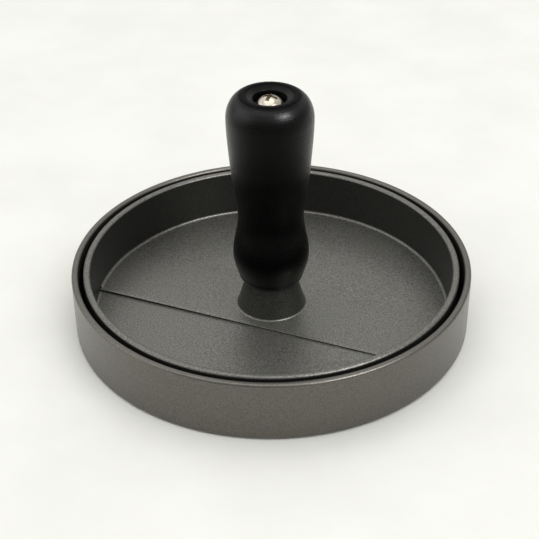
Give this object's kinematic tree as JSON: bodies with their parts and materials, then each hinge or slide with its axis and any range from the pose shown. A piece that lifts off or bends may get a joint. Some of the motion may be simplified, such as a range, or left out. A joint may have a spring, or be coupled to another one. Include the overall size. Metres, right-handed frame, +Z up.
{
  "type": "patty press",
  "caption": "Round hand press for meat patties: a shallow cast mould and a loose cup-shaped press plate with a turned black grip held by one long screw.",
  "frame": {"origin": "on the press's axis, on the table under the mould", "axes": "+Z up along the grip; +X along the raised band on the plate's floor, towards the low end of its front step; -Y towards the front segment"},
  "size_m": [0.125, 0.125, 0.077],
  "materials": {
    "mould_coating": "satin metallic coating over cast aluminium",
    "plate_coating": "satin metallic coating over cast aluminium, fine speckle",
    "grip_black": "satin black",
    "screw_steel": "bright nickel plate",
    "washer_steel": "zinc plate",
    "spring_steel": "dull zinc plate"
  },
  "bodies": {
    "mould_body": {"mould": "mould_coating"},
    "press_body": {"press_plate": "plate_coating", "grip": "grip_black", "handle_screw": "screw_steel", "plain_washer": "washer_steel", "spring_washer": "spring_steel"}
  },
  "joints": [
    {"name": "press_lift", "type": "slide", "parent": "mould_body", "child": "press_body", "axis": [0, 0, 1], "range_m": [0, 0.05]}
  ]
}
